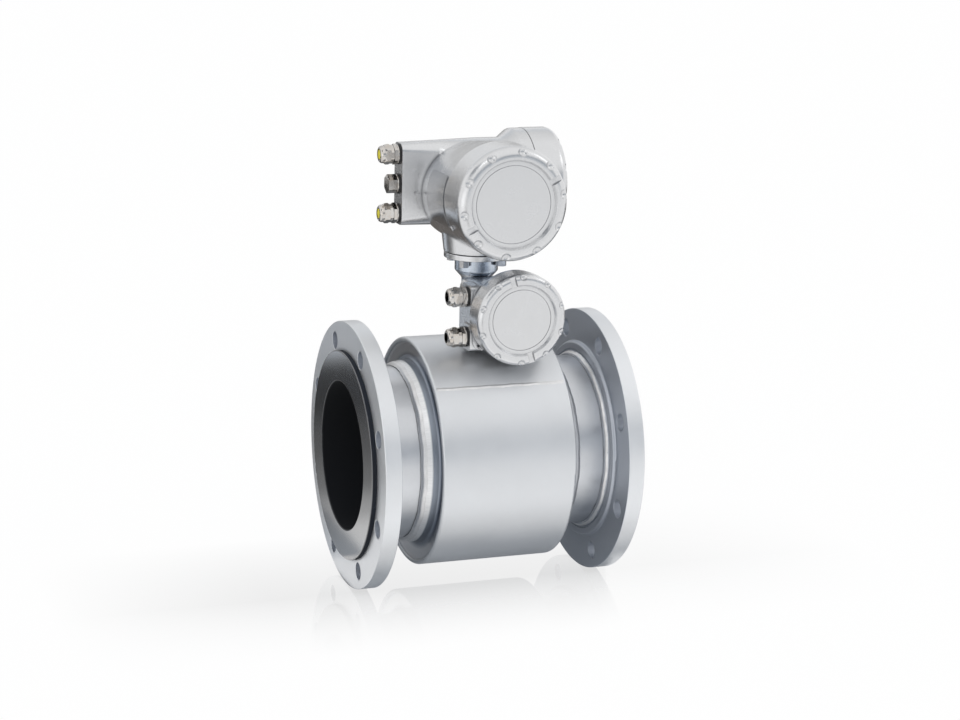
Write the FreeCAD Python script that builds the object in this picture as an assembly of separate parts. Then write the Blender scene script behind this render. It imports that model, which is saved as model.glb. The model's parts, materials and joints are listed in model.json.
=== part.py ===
import FreeCAD, Part
from collections import namedtuple
import math
import os

# Flanged electromagnetic flow meter of nominal bore 200 mm with a compact converter.
# Units are millimetres. The origin lies on the flow axis at mid length. +X is the flow
# direction, -Y is the side that the display cover faces and +Z points up to the converter.

Vector = FreeCAD.Vector
X, Y, Z = Vector(1, 0, 0), Vector(0, 1, 0), Vector(0, 0, 1)

# Clearances
fit_gap = 0.3           # between pieces that turn or slide on each other
seat_gap = 0.3          # between a piece and what carries it

# Measuring tube, liner and flanges
face_to_face = 350.0
bore_r = 94.0
liner_wall = 9.25
liner_face_thickness = 6.5
liner_face_margin = 3.5     # between the lining's face and the bolt holes
pipe_wall = 6.3
flange_height = 60.45       # of the flange's edge above the tube
flange_thickness = 21.0
flange_hub_width = 17.0
flange_hub_height = 5.0
flange_weld = 5.0
weld_groove_depth = 1.6
weld_groove_width = 1.6
weld_groove_bevel = 0.8
bolt_edge = 22.5            # from the bolt circle to the flange's edge
bolt_hole_r = 11.0
bolt_count = 8

# Coil housing
housing_half = 87.5
housing_wall = 3.0
rim_width = 6.0
rim_length = 9.0
collar_height = 6.45
collar_reach = 102.0
dish_floor = 80.0
dish_plate = 4.5
collar_weld = 2.5
collar_slope = 8.0

# Coils, poles and electrodes inside the coil housing
pole_thickness = 7.0
pole_half_length = 48.0
pole_half_angle = 52.0
core_half_length = 22.0
core_half_width = 30.0
core_corner = 8.0
coil_window_gap = 1.0
coil_band = 17.0
coil_corner = 20.0
coil_height = 14.0
yoke_thickness = 3.0
yoke_half_length = 56.0
yoke_window_gap = 6.0
yoke_to_shell = 8.05
electrode_head_r = 8.0
electrode_head_thickness = 3.0
electrode_shank_r = 4.0
electrode_recess = 0.2
boss_r = 12.0
boss_height = 12.0
electrode_nut_height = 6.0
electrode_nut_flats = 13.0

# Column and junction box
column_r = 18.5
column_bore_r = 14.0
column_foot_r = 23.0
column_length = 76.5
neck_cone_height = 10.0
neck_seat_r = 27.5
neck_seat_height = 23.7
neck_ring_r = 41.5
neck_ring_thickness = 7.0
neck_gasket_thickness = 1.0
neck_screw_circle_r = 35.0
neck_screw_r = 4.0
neck_screw_head = 8.5
neck_screw_flats = 11.0
neck_screw_depth = 16.0
neck_screw_count = 4

box_x = 22.0            # axis of the junction cover and middle of its box
box_rise = 40.5         # of the box's middle above the coil housing
box_half_width = 51.0
box_half_height = 41.0
box_corner = 12.0
box_back = 22.0         # distance of the box's back from the column axis
box_depth = 54.0
box_cavity_r = 35.0
box_cavity_floor = 6.0
junction_lift = 2.6     # of the cover's axis above the box's middle
junction_mouth = 8.4    # from the box's front to the cover's seam
junction_ring_length = 6.5
junction_cone_length = 12.0
junction_cone_r = 50.0
passage_r = 12.5
passage_lift = 4.0      # of the wire passage above the box's middle
web_half_height = 24.0  # of the web between the column and the box
web_corner = 4.0

# Cable glands and the blanking plug
gland_set_back = 35.0   # from the box's back to the glands
gland_pad_face = 32.0
gland_pad_half = 16.0
gland_pad_corner = 5.0
gland_pitch = 51.0
gland_drop = 1.5        # of the glands' middle below the box's middle
washer_r = 12.6
washer_thickness = 2.2
gland_hole_r = 10.0
gland_shank_length = 12.0
gland_flats = 23.0
gland_flange_r = 12.3
gland_flange_thickness = 1.6
gland_hex_height = 4.4
gland_neck_r = 9.2
gland_neck_length = 11.8
gland_seat_r = 7.6
gland_seat_depth = 9.7
gland_bore_r = 6.6
insert_bore_r = 6.0
nut_flats = 22.5
nut_wall_step = 0.6
nut_length = 17.5
nut_dome = 6.0
nut_wing_height = 7.5
nut_wing_chamfer = 1.0
nut_mouth_r = 6.6
plug_flats = 21.0
plug_height = 11.5

# Covers
display_cover_r = 70.5
display_cover_height = 45.0
terminal_cover_r = 66.4
terminal_cover_height = 42.0
converter_cover_shoulder = 12.5
converter_cover_rim = 2.7
converter_cover_slope = 2.8
converter_cover_recess = 4.5
converter_cover_margin = 4.8
converter_cover_skirt = 8.8
converter_spigot_length = 14.0
converter_dimple_r = 7.0
band_step = 0.4             # by which a cover stands out over its housing
display_notch_angle = 28.5
display_dimple_angle = 10.0
terminal_notch_angle = 15.0
terminal_dimple_angle = 33.0
junction_cover_r = 57.6
junction_cover_height = 29.5
junction_cover_shoulder = 7.5
junction_cover_rim = 5.0
junction_cover_slope = 2.5
junction_cover_recess = 3.8
junction_cover_margin = 4.6
junction_cover_skirt = 9.9
junction_spigot_length = 12.0
junction_dimple_r = 5.6
junction_step = 0.6
junction_notch_angle = 105.0
junction_dimple_angle = 18.0
cover_wall = 6.0
spigot_wall = 5.0
dimple_count = 10
dimple_tilt = 60.0      # of the dimples, from the rim's side towards its face
notch_width = 8.0
disc_groove_width = 0.9
disc_groove_depth = 0.6
o_ring_thickness = 3.0

# Converter housing
display_rise = 80.8         # of the display's axis above the neck ring
display_seam = 89.5
display_band_length = 12.0
display_back = 36.0
display_back_drop = 9.5     # of the barrel's rear end below its axis
display_back_half_width = 67.0
display_back_half_height = 63.5
terminal_y = 38.0
terminal_lift = 2.0         # of the terminal body's axis above the display's
terminal_seam = 71.0
terminal_body_r = 55.0
terminal_band_length = 15.0
terminal_shoulder_length = 14.0
terminal_hollow = 8.0       # radius where the shoulder leaves the body
terminal_bulge = 6.0        # radius where it reaches the band
side_x = -93.0
side_half_width = 16.5
side_half_height = 51.5
side_corner = 9.0
side_wall = 6.0
round_start = 12.0
converter_neck_r = 42.0
converter_neck_top_r = 45.0
converter_neck_taper = 24.3
converter_neck_bore_r = 20.0
converter_gland_pitch = 37.3
display_cavity_depth = 42.0
waist_x = -45.0
waist_half_width = 18.0
waist_half_height = 53.5
waist_corner = 16.0

# Small fittings on the outside
side_plate_thickness = 0.8
side_plate_start = 17.0
side_plate_length = 68.0
side_plate_angles = (157.0, 211.0)
lock_screw_r = 2.0
lock_screw_depth = 5.0
lock_screw_head_r = 3.4
lock_screw_head = 2.9
lock_screw_socket = 3.0
lock_screw_set_back = 4.5
display_lock_angle = -151.0
junction_lock_angle = -136.0
junction_lug_angle = 132.5
junction_lug_size = 6.0
junction_lug_height = 6.0
junction_lug_inset = 3.0
eyelet_x = -74.5
eyelet_drop = 10.0
eyelet_r = 2.4
eyelet_wire_r = 0.6

# Electronics, terminals and wiring inside the housings
carrier_wall = 4.0
carrier_height = 30.0
carrier_gap = 1.6
board_thickness = 1.6
board_depth = 4.0
transformer = (34.0, 28.0, 16.0)
connector = (24.0, 9.0, 10.0)
chip = (14.0, 14.0, 2.4)
capacitor_r = 5.0
capacitor_height = 14.0
capacitor_rows = (-14.0, 0.0)
capacitor_y = 26.0
transformer_x = -19.0
connector_x = 20.0
connector_y = 28.5
chip_x = 19.0
terminal_plate_x = 20.0
terminal_plate_thickness = 3.0
terminal_plate_hole_r = 9.0
terminal_plate_hole_drop = 36.0
terminal_block_length = 64.0
terminal_block_width = 16.0
terminal_block_height = 18.0
terminal_ways = 8
junction_block_length = 52.0
junction_block_width = 20.0
junction_block_height = 14.0
junction_block_feet = 6.0
junction_block_x = 18.0
junction_block_foot_half = 4.0
junction_block_feet_at = (4.0, 20.0)
junction_ways = 6
harness_r = 2.6
sensor_harness_drop = 2.0       # below the box's middle
interface_harness_lift = 9.5    # above the box's middle
interface_harness_x = 3.0
interface_harness_drop = 24.5   # of its top below the display's axis

# Places and sizes that follow from those above
pipe_inner_r = bore_r + liner_wall
pipe_outer_r = pipe_inner_r + pipe_wall
flange_outer_x = face_to_face / 2 - liner_face_thickness
flange_inner_x = flange_outer_x - flange_thickness
flange_r = pipe_outer_r + flange_height
bolt_circle_r = flange_r - bolt_edge
liner_face_r = bolt_circle_r - bolt_hole_r - liner_face_margin
pole_seat_r = pipe_outer_r + seat_gap
pole_face_r = pole_seat_r + pole_thickness
coil_inner_r = pole_face_r + seat_gap
coil_outer_r = coil_inner_r + coil_height
yoke_inner_r = coil_outer_r + seat_gap
yoke_outer_r = yoke_inner_r + yoke_thickness
housing_r = yoke_outer_r + yoke_to_shell + housing_wall
collar_r = pipe_outer_r + collar_height
cone_bottom = housing_r + column_length
cone_top = cone_bottom + neck_cone_height
neck_ring_top = cone_top + neck_seat_height
box_z = housing_r + box_rise
passage_z = box_z + passage_lift
junction_z = box_z + junction_lift
junction_seam = box_back + box_depth + junction_mouth
junction_seat = -(junction_seam - seat_gap)
gland_y = -(box_back + gland_set_back)
gland_middle_z = box_z - gland_drop
sensor_harness_z = box_z - sensor_harness_drop
interface_harness_z = box_z + interface_harness_lift
display_z = neck_ring_top + display_rise
terminal_z = display_z + terminal_lift
eyelet_z = terminal_z - eyelet_drop
interface_harness_top = display_z - interface_harness_drop

Cover = namedtuple("Cover", "r height shoulder rim slope recess margin skirt spigot_length "
                            "notch_angle dimple_angle dimple_r")
display_barrel_r = display_cover_r - band_step
terminal_band_r = terminal_cover_r - band_step
junction_ring_r = junction_cover_r - junction_step
display_cover = Cover(display_cover_r, display_cover_height, converter_cover_shoulder,
                      converter_cover_rim, converter_cover_slope, converter_cover_recess,
                      converter_cover_margin, converter_cover_skirt, converter_spigot_length,
                      display_notch_angle, display_dimple_angle, converter_dimple_r)
terminal_cover = display_cover._replace(r=terminal_cover_r, height=terminal_cover_height,
                                        notch_angle=terminal_notch_angle,
                                        dimple_angle=terminal_dimple_angle)
junction_cover = Cover(junction_cover_r, junction_cover_height, junction_cover_shoulder,
                       junction_cover_rim, junction_cover_slope, junction_cover_recess,
                       junction_cover_margin, junction_cover_skirt, junction_spigot_length,
                       junction_notch_angle, junction_dimple_angle, junction_dimple_r)


def spigot_r(cover):
    """Radius of the threaded spigot behind a cover's skirt."""
    return cover.r - cover.skirt


def thread_r(cover):
    """Radius of the threaded hole that takes a cover's spigot."""
    return spigot_r(cover) + fit_gap


def outline(corners, place):
    """Closed wire through corners (a, b) or (a, b, fillet radius), put in space by place(a, b)."""
    starts, middles, ends = [], [], []
    for index, corner in enumerate(corners):
        before = corners[index - 1]
        after = corners[(index + 1) % len(corners)]
        point = Vector(corner[0], corner[1], 0)
        radius = corner[2] if len(corner) > 2 else 0.0
        if radius == 0.0:
            starts.append(point)
            middles.append(None)
            ends.append(point)
            continue
        back = (Vector(before[0], before[1], 0) - point).normalize()
        ahead = (Vector(after[0], after[1], 0) - point).normalize()
        half = back.getAngle(ahead) / 2
        bisector = (back + ahead).normalize()
        starts.append(point + back * (radius / math.tan(half)))
        ends.append(point + ahead * (radius / math.tan(half)))
        middles.append(point + bisector * (radius / math.sin(half) - radius))
    edges = []
    for index in range(len(corners)):
        start, end, following = starts[index], ends[index], starts[(index + 1) % len(corners)]
        if middles[index] is not None:
            points = [place(p.x, p.y) for p in (start, middles[index], end)]
            edges.append(Part.Arc(*points).toShape())
        if (following - end).Length > 1e-6:
            edges.append(Part.makeLine(place(end.x, end.y), place(following.x, following.y)))
    return Part.Wire(edges)


def lathe(corners):
    """Solid turned about local Z from a half section of (radius, height) corners."""
    wire = outline(corners, lambda r, t: Vector(r, 0, t))
    return Part.Face(wire).revolve(Vector(), Z, 360)


def moved(shape, placement):
    """Copy of a shape with a placement worked into its geometry."""
    return shape.transformed(placement.toMatrix(), True)


def aim(shape, origin, axis, spin=0.0):
    """Copy of a shape built about local Z, spun about it and laid from origin along axis."""
    placement = FreeCAD.Placement(origin, FreeCAD.Rotation(Z, axis))
    return moved(shape, placement.multiply(FreeCAD.Placement(Vector(), FreeCAD.Rotation(Z, spin))))


def tube(outer, inner, bottom, top):
    """Plain ring about local Z."""
    return lathe([(inner, bottom), (outer, bottom), (outer, top), (inner, top)])


def fused(*shapes):
    """Union with the seams between coplanar faces taken out."""
    return shapes[0].multiFuse(list(shapes[1:])).removeSplitter()


def hexagon(flats, bottom, top):
    """Hexagonal prism about local Z, given by its width across flats."""
    corner = flats / math.sqrt(3)
    turns = [math.radians(60 * k) for k in range(7)]
    points = [Vector(corner * math.cos(turn), corner * math.sin(turn), bottom) for turn in turns]
    return Part.Face(Part.makePolygon(points)).extrude(Z * (top - bottom))


def chamfered_hexagon(flats, bottom, top, chamfer):
    """Hexagonal prism whose corners are turned off at both ends."""
    corner = flats / math.sqrt(3)
    turned = lathe([(0, bottom), (corner - chamfer, bottom), (corner, bottom + chamfer * 0.6),
                    (corner, top - chamfer * 0.6), (corner - chamfer, top), (0, top)])
    return hexagon(flats, bottom, top).common(turned)


def plate(half_a, half_b, corner, place, thickness):
    """Rounded rectangular block, extruded by the vector thickness."""
    corners = [(-half_a, -half_b, corner), (half_a, -half_b, corner), (half_a, half_b, corner),
               (-half_a, half_b, corner)]
    return Part.Face(outline(corners, place)).extrude(thickness)


# Sensor: everything turned about the flow axis


def both_ends(outlet_piece):
    """The outlet piece laid along +X and its mirror image for the inlet."""
    outlet = aim(outlet_piece, Vector(), X)
    return outlet, outlet.mirror(Vector(), X)


def electrode_cut(radius, start, end):
    """Two round bars on the horizontal diameter, for holes and bosses at the electrodes."""
    front = Part.makeCylinder(radius, end - start, Vector(0, -start, 0), -Y)
    rear = Part.makeCylinder(radius, end - start, Vector(0, start, 0), Y)
    return front.fuse(rear)


def liner():
    """Soft lining of the bore, flared over both flange faces."""
    half = face_to_face / 2
    section = [(bore_r, -half, 2.0), (liner_face_r, -half, 1.0), (liner_face_r, -flange_outer_x),
               (pipe_inner_r, -flange_outer_x), (pipe_inner_r, flange_outer_x),
               (liner_face_r, flange_outer_x), (liner_face_r, half, 1.0), (bore_r, half, 2.0)]
    lining = aim(lathe(section), Vector(), X)
    floor = bore_r + electrode_recess + electrode_head_thickness
    seats = electrode_cut(electrode_head_r + seat_gap, bore_r - electrode_head_r, floor)
    holes = electrode_cut(electrode_shank_r + seat_gap, floor - 1, pipe_outer_r)
    return lining.cut(seats).cut(holes)


def measuring_tube():
    """Welded tube between the flanges with a boss for each electrode."""
    pipe = aim(tube(pipe_outer_r, pipe_inner_r, -flange_outer_x, flange_outer_x), Vector(), X)
    boss_end = pipe_outer_r + boss_height
    bosses = electrode_cut(boss_r, pipe_inner_r, boss_end)
    inside = Part.makeCylinder(pipe_inner_r, 2 * flange_outer_x, Vector(-flange_outer_x, 0, 0), X)
    holes = electrode_cut(electrode_shank_r + seat_gap, bore_r, boss_end + 1)
    return fused(pipe, bosses.cut(inside)).cut(holes)


def flange():
    """Plate flange for the outlet end with its hub ring, weld bead and bolt holes."""
    hub_r = pipe_outer_r + flange_hub_width
    hub_face = flange_inner_x - flange_hub_height
    groove_floor = hub_face + weld_groove_depth
    groove_start = pipe_outer_r + flange_weld + weld_groove_bevel
    groove_end = groove_start + weld_groove_width
    section = [(pipe_outer_r, hub_face - flange_weld), (pipe_outer_r + 2.2, hub_face - flange_weld, 1.5),
               (pipe_outer_r + flange_weld, hub_face - 1.0, 2.0), (groove_start, groove_floor),
               (groove_end, groove_floor), (groove_end + weld_groove_bevel, hub_face, 0.8),
               (hub_r, hub_face, 3.0), (hub_r + 1.5, flange_inner_x, 2.0), (flange_r, flange_inner_x, 1.2),
               (flange_r, flange_outer_x, 1.2), (pipe_outer_r, flange_outer_x)]
    body = lathe(section)
    for index in range(bolt_count):
        angle = math.radians(360.0 / bolt_count * (index + 0.5))
        centre = Vector(bolt_circle_r * math.cos(angle), bolt_circle_r * math.sin(angle),
                        flange_inner_x - 1)
        body = body.cut(Part.makeCylinder(bolt_hole_r, flange_thickness + 2, centre, Z))
    return body


def end_plate():
    """Dished plate that closes the coil housing, with the weld collar that holds it on the tube."""
    rim_inner_r = housing_r - rim_width
    section = [(pipe_outer_r, dish_floor - dish_plate), (pipe_outer_r, collar_reach + collar_weld),
               (pipe_outer_r + 1.0, collar_reach + collar_weld), (pipe_outer_r + 3.5, collar_reach, 2.5),
               (collar_r - 2.5, collar_reach - collar_weld, 2.0),
               (collar_r, collar_reach - collar_weld - collar_slope, 2.5),
               (collar_r + 2.5, dish_floor, 4.5), (rim_inner_r - 3.0, dish_floor + 3.0, 3.0),
               (rim_inner_r, housing_half - 3.0), (rim_inner_r, dish_floor - dish_plate + 3.0)]
    return lathe(section)


def coil_housing():
    """Rolled shell round the coils with a rounded rim at each end and a hole under the column."""
    outer, inner, rim = housing_r, housing_r - housing_wall, housing_r - rim_width
    half, shelf = housing_half, housing_half - rim_length
    section = [(inner, -shelf + 3.0), (rim, -shelf), (rim, -half, 2.4), (outer, -half, 3.4),
               (outer, half, 3.4), (rim, half, 2.4), (rim, shelf), (inner, shelf - 3.0)]
    shell = aim(lathe(section), Vector(), X)
    return shell.cut(Part.makeCylinder(column_bore_r, housing_r, Vector(0, 0, pipe_outer_r), Z))


def saddle_band(inner, outer, half_length):
    """Ring about the flow axis out of which saddle shapes are cut."""
    return aim(tube(outer, inner, -half_length, half_length), Vector(), X)


def pole_shoe():
    """Upper pole shoe: a saddle plate on the tube with the core that carries the coil."""
    reach = pole_face_r * 2
    side = reach * math.tan(math.radians(pole_half_angle))
    tip = Vector(-pole_half_length, 0, 0)
    triangle = Part.makePolygon([tip, tip + Vector(0, -side, reach), tip + Vector(0, side, reach), tip])
    wedge = Part.Face(triangle).extrude(X * 2 * pole_half_length)
    shoe = saddle_band(pole_seat_r, pole_face_r, pole_half_length).common(wedge)
    core = plate(core_half_length, core_half_width, core_corner,
                 lambda a, b: Vector(a, b, 0), Z * housing_r)
    core = core.common(saddle_band(pole_seat_r + 1, yoke_inner_r, pole_half_length))
    return fused(shoe, core)


def coil():
    """Upper saddle coil, a rounded rectangular winding bent round the tube."""
    def loop(grow, corner):
        return plate(core_half_length + grow, core_half_width + grow, corner, lambda a, b: Vector(a, b, 0),
                     Z * housing_r)
    winding = loop(coil_window_gap + coil_band, coil_corner)
    winding = winding.cut(loop(coil_window_gap, core_corner + coil_window_gap))
    return winding.common(saddle_band(coil_inner_r, coil_outer_r, pole_half_length))


def below(shape):
    """Mirror image of an upper piece, for the underside of the tube."""
    return shape.mirror(Vector(), Z)


def return_yoke():
    """Iron band round both coils, with a window for each electrode boss."""
    band = saddle_band(yoke_inner_r, yoke_outer_r, yoke_half_length)
    return band.cut(electrode_cut(boss_r + yoke_window_gap, pipe_outer_r, yoke_outer_r + 1))


def electrode():
    """Front electrode with its head just below the lining's surface and its nut on the boss."""
    head = bore_r + electrode_recess
    boss_top = pipe_outer_r + boss_height
    shoulder = head + electrode_head_thickness
    tip = boss_top + electrode_nut_height + 3
    pin = lathe([(0, head), (electrode_head_r, head, 0.8), (electrode_head_r, shoulder),
                 (electrode_shank_r, shoulder), (electrode_shank_r, tip, 1.0), (0, tip)])
    nut = chamfered_hexagon(electrode_nut_flats, boss_top, boss_top + electrode_nut_height, 0.8)
    return aim(fused(pin, nut), Vector(), -Y)


# Column, junction box and neck ring

gland_seats = [Vector(-gland_pad_face, gland_y, gland_middle_z + side * gland_pitch / 2)
               for side in (1, -1)]


def column():
    """Round column from the coil housing to the ring that carries the converter."""
    ring_bottom = neck_ring_top - neck_ring_thickness
    section = [(0, housing_r - 20), (column_foot_r, housing_r - 20), (column_foot_r, housing_r - 1.5, 0.5),
               (column_r, housing_r + 4.0, 4.0), (column_r, cone_bottom, 6.0), (neck_seat_r, cone_top, 3.0),
               (neck_seat_r, ring_bottom, 1.0), (neck_ring_r, ring_bottom, 0.8),
               (neck_ring_r, neck_ring_top, 0.8), (0, neck_ring_top)]
    barrel = Part.makeCylinder(housing_r, 4 * column_foot_r, Vector(-2 * column_foot_r, 0, 0), X)
    return lathe(section).cut(barrel)


def junction_ring():
    """Round mouth of the junction box, flaring from the box to the thread."""
    start = -(junction_ring_length + junction_cone_length)
    section = [(0, start - 4), (junction_cone_r - 4, start - 4), (junction_cone_r, start, 3.0),
               (junction_ring_r, -junction_ring_length, 3.0), (junction_ring_r, 0, 0.8), (0, 0)]
    return aim(lathe(section), Vector(box_x, junction_seat, junction_z), -Y)


def round_place(centre, axis, across, radius, angle, back):
    """Point behind a round body's seam, at an angle from across towards +Z, and its outward normal."""
    turn = math.radians(angle)
    out = across * math.cos(turn) + Z * math.sin(turn)
    return centre - axis * back + out * radius, out


def lock_place(cover):
    """Where a cover's lock screw enters its housing, and the direction of its head."""
    if cover == "display":
        return round_place(Vector(0, -display_seam, display_z), -Y, X, display_barrel_r,
                           display_lock_angle, lock_screw_set_back)
    if cover == "junction":
        return round_place(Vector(box_x, -junction_seam, junction_z), -Y, X, junction_ring_r,
                           junction_lock_angle, lock_screw_set_back)
    return round_place(Vector(terminal_seam, terminal_y, terminal_z), X, Y, terminal_band_r,
                       -90.0, lock_screw_set_back)


def lock_hole(cover):
    """Radial hole for a lock screw."""
    base, out = lock_place(cover)
    return Part.makeCylinder(lock_screw_r + fit_gap, lock_screw_depth + 1.5, base + out, out * -1)


def junction_lug():
    """Small square earthing lug on the junction box's mouth."""
    seam = Vector(box_x, -junction_seam, junction_z)
    back = junction_lug_size / 2 + fit_gap
    base, out = round_place(seam, -Y, X, junction_cover.r - junction_lug_inset, junction_lug_angle, back)
    half = junction_lug_size / 2
    lug = plate(half, half, 0.6, lambda a, b: Vector(a, b, 0), Z * junction_lug_height)
    return aim(lug, base, out)


def gland_pads():
    """Raised square pads on the box's side, one under each gland."""
    pads = []
    for seat in gland_seats:
        def place(a, b, centre=seat):
            return Vector(centre.x, centre.y + a, centre.z + b)
        pads.append(plate(gland_pad_half, gland_pad_half, gland_pad_corner, place, X * 16))
    return pads


def junction_body():
    """Column, box, threaded mouth and gland pads, cast as one piece."""
    box = plate(box_half_width, box_half_height, box_corner,
                lambda a, b: Vector(box_x + a, -box_back, box_z + b), -Y * box_depth)
    web = plate(column_r, web_half_height, web_corner, lambda a, b: Vector(a, 0, passage_z + b),
                -Y * (box_back + 4))
    solid = fused(column(), web, box, junction_ring(), junction_lug(), *gland_pads())
    mouth = Vector(box_x, junction_seat - 1, junction_z)
    thread = Part.makeCylinder(thread_r(junction_cover), junction_cover.spigot_length + 4, mouth, Y)
    cavity_floor = -(box_back + box_cavity_floor)
    cavity = Part.makeCylinder(box_cavity_r, -junction_seat + cavity_floor + 1,
                               Vector(box_x, cavity_floor, box_z), -Y)
    bore = Part.makeCylinder(column_bore_r, neck_ring_top, Vector(0, 0, pipe_outer_r), Z)
    passage = Part.makeCylinder(passage_r, box_back + box_cavity_floor + 2, Vector(0, 0, passage_z), -Y)
    solid = solid.cut(thread).cut(cavity).cut(bore).cut(passage)
    for seat in gland_seats:
        solid = solid.cut(Part.makeCylinder(gland_hole_r, gland_pad_face + 8, seat, X))
    for centre in neck_screw_places():
        solid = solid.cut(Part.makeCylinder(neck_screw_r + seat_gap, neck_ring_thickness + 2,
                                            centre - Z * (neck_ring_thickness + 1), Z))
    return solid.cut(lock_hole("junction"))


def neck_screw_places():
    """Centres of the neck screws on the top face of the neck ring."""
    places = []
    for index in range(neck_screw_count):
        angle = math.radians(360.0 / neck_screw_count * (index + 0.5))
        places.append(Vector(neck_screw_circle_r * math.cos(angle), neck_screw_circle_r * math.sin(angle),
                             neck_ring_top))
    return places


def neck_screw():
    """Hexagon screw that comes up through the neck ring, measured from the ring's top face."""
    head_top = -neck_ring_thickness
    head = chamfered_hexagon(neck_screw_flats, head_top - neck_screw_head, head_top, 0.7)
    shank = tube(neck_screw_r, 0, head_top, neck_gasket_thickness + neck_screw_depth - 2)
    return fused(head, shank)


def neck_gasket():
    """Flat gasket between the neck ring and the converter."""
    top = neck_ring_top + neck_gasket_thickness
    gasket = tube(neck_ring_r - 0.8, column_bore_r, neck_ring_top, top)
    for centre in neck_screw_places():
        gasket = gasket.cut(Part.makeCylinder(neck_screw_r + seat_gap, neck_gasket_thickness, centre, Z))
    return gasket


# Cable glands, all built about local Z with the mounting face at zero


def gland_washer():
    """Black sealing washer under a gland or plug."""
    return tube(washer_r, gland_hole_r - fit_gap, 0, washer_thickness)


gland_flange_top = washer_thickness + gland_flange_thickness
gland_hex_top = gland_flange_top + gland_hex_height
gland_neck_top = gland_hex_top + gland_neck_length
nut_bore_r = gland_neck_r + fit_gap
nut_start = gland_hex_top + fit_gap
nut_end = nut_start + nut_length
insert_r = gland_seat_r - fit_gap
insert_start = gland_neck_top - gland_seat_depth + fit_gap
cone_start = gland_neck_top + fit_gap
cone_end = cone_start + 3.0


def gland_body():
    """Gland body: threaded shank, flange, hexagon and the neck that the dome nut runs on."""
    turned = lathe([(gland_bore_r, -gland_shank_length), (gland_hole_r - fit_gap, -gland_shank_length, 0.8),
                    (gland_hole_r - fit_gap, washer_thickness), (gland_flange_r, washer_thickness, 0.3),
                    (gland_flange_r, gland_flange_top, 0.5), (gland_neck_r, gland_flange_top),
                    (gland_neck_r, gland_neck_top, 0.6), (gland_seat_r, gland_neck_top),
                    (gland_seat_r, gland_neck_top - gland_seat_depth),
                    (gland_bore_r, gland_neck_top - gland_seat_depth)])
    wrench = chamfered_hexagon(gland_flats, gland_flange_top, gland_hex_top, 0.6)
    return fused(turned, wrench.cut(tube(gland_neck_r, 0, gland_flange_top, gland_hex_top)))


def gland_insert():
    """Rubber sealing insert that the dome nut squeezes round the cable."""
    top = cone_start + 1.9
    return lathe([(insert_bore_r, insert_start, 0.6), (insert_r, insert_start, 0.4),
                  (insert_r, top, 1.2), (insert_bore_r, top, 0.6)])


def gland_nut():
    """Dome nut with a winged hexagon and a rounded mouth."""
    dome_start = nut_end - nut_dome
    wing_start = dome_start - nut_wing_height
    corner = nut_flats / math.sqrt(3)
    flat = nut_flats / 2
    skirt = flat + nut_wall_step
    outside = lathe([(0, nut_start), (skirt, nut_start, 0.4), (skirt, wing_start),
                     (corner, wing_start + nut_wing_chamfer), (corner, dome_start - 2.5 * nut_wing_chamfer),
                     (flat, dome_start), (0, dome_start)])
    wings = hexagon(nut_flats, nut_start, dome_start).common(outside)
    dome = lathe([(0, dome_start - 0.5), (flat - 0.2, dome_start - 0.5), (flat - 0.2, nut_end, 4.2),
                  (nut_mouth_r + 0.6, nut_end, 0.4), (0, nut_end - 1.5)])
    inside = lathe([(0, nut_start - 1), (nut_bore_r, nut_start - 1), (nut_bore_r, cone_start),
                    (nut_mouth_r, cone_end), (nut_mouth_r, nut_end + 1), (0, nut_end + 1)])
    return fused(wings, dome).cut(inside)


def dust_plug():
    """Yellow transport plug in the mouth of a gland."""
    mouth = nut_mouth_r - fit_gap
    stem = insert_bore_r - fit_gap
    lip = cone_start + 1.9 + fit_gap
    return lathe([(0, insert_start), (stem, insert_start, 1.0), (stem, lip), (mouth, lip),
                  (mouth, nut_end - 0.8, 0.5), (0, nut_end - 0.8)])


def blanking_plug():
    """Screwed plug that closes the middle cable entry."""
    shank = tube(gland_hole_r - fit_gap, 0, -gland_shank_length, gland_flange_top)
    collar = lathe([(0, washer_thickness), (gland_flange_r - 0.6, washer_thickness, 0.3),
                    (gland_flange_r - 0.6, gland_flange_top, 0.5), (0, gland_flange_top)])
    head = chamfered_hexagon(plug_flats, gland_flange_top, gland_flange_top + plug_height, 0.6)
    return fused(shank, collar, head)


# Screwed covers and their seal rings, built about local Z with the seam at zero


def threaded_cover(size):
    """Cover with a rounded rim, dimples, two wrench notches and a recessed plain disc."""
    rim_r = size.r - size.shoulder - size.rim
    recess_r = rim_r - size.slope
    floor = size.height - size.recess
    under = floor - cover_wall
    outer = spigot_r(size)
    spigot_bore_r = outer - spigot_wall
    groove = o_ring_thickness + fit_gap
    body = lathe([(0, under), (spigot_bore_r, under, 4.0), (spigot_bore_r, -size.spigot_length),
                  (outer, -size.spigot_length, 1.0), (outer, -groove - fit_gap),
                  (outer - groove, -groove - fit_gap), (outer - groove, 0),
                  (size.r, 0, 0.8), (size.r, size.height, size.shoulder), (rim_r, size.height, 0.6),
                  (recess_r, floor, 0.6), (0, floor)])
    inner = recess_r - size.margin - disc_groove_width / 2
    body = body.cut(tube(inner + disc_groove_width, inner, floor - disc_groove_depth, floor + 1))
    notch_floor = floor + 0.8
    for half_turn in (0, 180):
        corner = Vector(recess_r - 2, -notch_width / 2, notch_floor)
        notch = Part.makeBox(size.r, notch_width, size.height, corner)
        body = body.cut(aim(notch, Vector(), Z, size.notch_angle + half_turn))
    reach = size.shoulder + size.dimple_r / 2
    tilt = math.radians(dimple_tilt)
    centre = Vector(size.r - size.shoulder + reach * math.cos(tilt), 0,
                    size.height - size.shoulder + reach * math.sin(tilt))
    for index in range(dimple_count):
        dimple = Part.makeSphere(size.dimple_r, centre)
        body = body.cut(aim(dimple, Vector(), Z, size.dimple_angle + 360.0 / dimple_count * index))
    return body


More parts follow.
